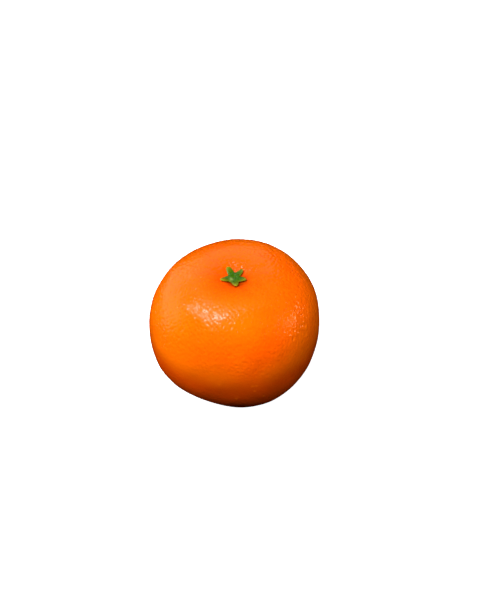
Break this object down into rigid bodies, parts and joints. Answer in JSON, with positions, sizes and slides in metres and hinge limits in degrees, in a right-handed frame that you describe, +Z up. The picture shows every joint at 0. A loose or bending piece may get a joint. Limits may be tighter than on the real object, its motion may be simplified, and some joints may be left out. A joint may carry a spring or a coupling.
{
  "type": "mandarin",
  "caption": "Whole ripe mandarin, slightly flattened and lopsided, with a glossy pored orange rind and a small green star-shaped calyx sunk in a shallow basin on top.",
  "frame": {"origin": "on the surface that the fruit rests on, under the middle of the outline seen from above", "axes": "+Z up, from the stylar end that it rests on to the calyx; -Y towards the camera of the picture; +X to the camera's right"},
  "size_m": [0.0624, 0.0614, 0.0534],
  "materials": {
    "rind": "waxy orange citrus rind with fine oil-gland pores, glossy, slightly yellower on its left side and redder on its right",
    "calyx_green": "smooth fleshy green calyx, satin, yellower at the lobe tips and edges"
  },
  "bodies": {
    "root": {"fruit": "rind", "calyx": "calyx_green"}
  },
  "joints": []
}
